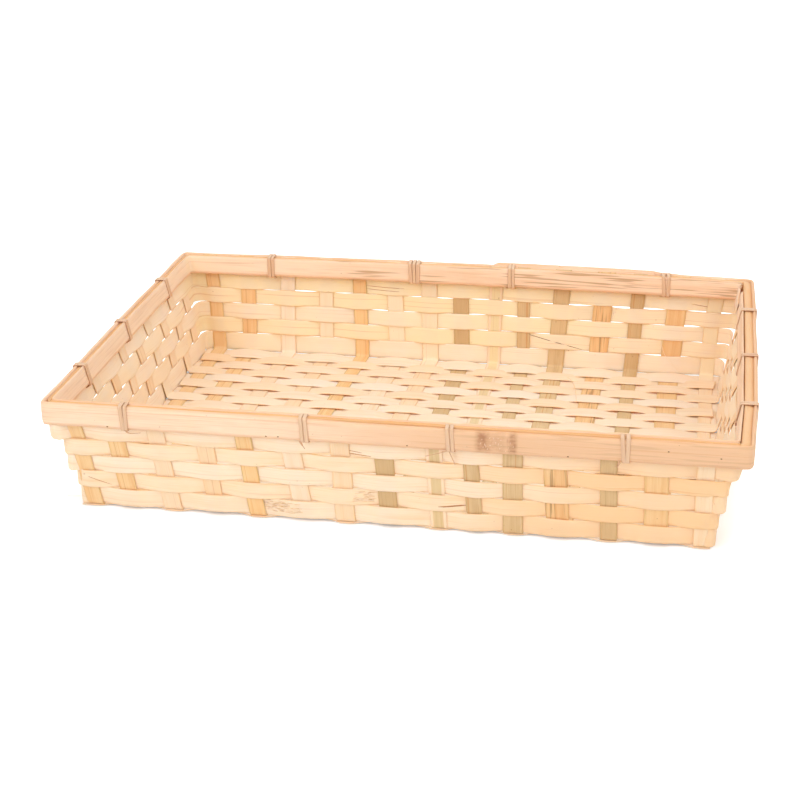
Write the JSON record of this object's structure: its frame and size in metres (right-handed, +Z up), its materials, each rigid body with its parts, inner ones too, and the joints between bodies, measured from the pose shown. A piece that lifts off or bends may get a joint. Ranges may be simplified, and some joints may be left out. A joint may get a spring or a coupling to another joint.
{
  "type": "bamboo basket",
  "caption": "Shallow open rectangular basket of woven flat bamboo strips, with flared sides and a lashed hoop rim, for holding bread, fruit or small goods.",
  "frame": {"origin": "on the floor plane, at the middle of the basket's base", "axes": "+X along the basket's long side, -Y to the front long wall, +Z up out of the opening"},
  "size_m": [0.4516, 0.3256, 0.0778],
  "materials": {
    "pale_bamboo": "matt split bamboo with fine lengthwise grain",
    "cream_bamboo": "matt split bamboo with fine lengthwise grain",
    "gold_bamboo": "matt split bamboo with fine lengthwise grain",
    "tan_bamboo": "matt split bamboo with fine lengthwise grain",
    "orange_bamboo": "matt split bamboo with fine lengthwise grain",
    "olive_bamboo": "matt split bamboo with fine lengthwise grain",
    "tie_bamboo": "matt split bamboo with fine lengthwise grain"
  },
  "bodies": {
    "root": {"base_strip_01": "pale_bamboo", "base_strip_03": "pale_bamboo", "base_strip_05": "pale_bamboo", "base_strip_07": "pale_bamboo", "base_strip_09": "pale_bamboo", "base_strip_11": "pale_bamboo", "base_strip_13": "pale_bamboo", "base_strip_15": "pale_bamboo", "base_strip_17": "pale_bamboo", "base_strip_19": "pale_bamboo", "base_strip_21": "pale_bamboo", "cross_stake_02": "cream_bamboo", "cross_stake_04": "cream_bamboo", "cross_stake_06": "cream_bamboo", "cross_stake_08": "cream_bamboo", "cross_stake_10": "cream_bamboo", "cross_stake_12": "cream_bamboo", "cross_stake_14": "cream_bamboo", "cross_stake_16": "cream_bamboo", "cross_stake_18": "cream_bamboo", "cross_stake_20": "cream_bamboo", "long_stake_01": "tan_bamboo", "long_stake_02": "tan_bamboo", "long_stake_03": "pale_bamboo", "long_stake_04": "cream_bamboo", "long_stake_05": "orange_bamboo", "long_stake_06": "pale_bamboo", "long_stake_07": "cream_bamboo", "long_stake_08": "olive_bamboo", "long_stake_09": "pale_bamboo", "long_stake_10": "olive_bamboo", "long_stake_11": "olive_bamboo", "long_stake_12": "gold_bamboo", "long_stake_13": "olive_bamboo", "long_stake_14": "tan_bamboo", "long_stake_15": "cream_bamboo", "rim_core_long": "tan_bamboo", "rim_core_short": "gold_bamboo", "rim_inner_hoop": "cream_bamboo", "rim_outer_hoop": "pale_bamboo", "rim_tie_back_1": "tie_bamboo", "rim_tie_back_2": "tie_bamboo", "rim_tie_back_3": "tie_bamboo", "rim_tie_back_4": "tie_bamboo", "rim_tie_front_1": "tie_bamboo", "rim_tie_front_2": "tie_bamboo", "rim_tie_front_3": "tie_bamboo", "rim_tie_front_4": "tie_bamboo", "rim_tie_left_1": "tie_bamboo", "rim_tie_left_2": "tie_bamboo", "rim_tie_left_3": "tie_bamboo", "rim_tie_right_1": "tie_bamboo", "rim_tie_right_2": "tie_bamboo", "rim_tie_right_3": "tie_bamboo", "weaver_row_1": "pale_bamboo", "weaver_row_2": "cream_bamboo", "weaver_row_3": "pale_bamboo", "weaver_row_4": "cream_bamboo", "weaver_row_5": "pale_bamboo"}
  },
  "joints": []
}
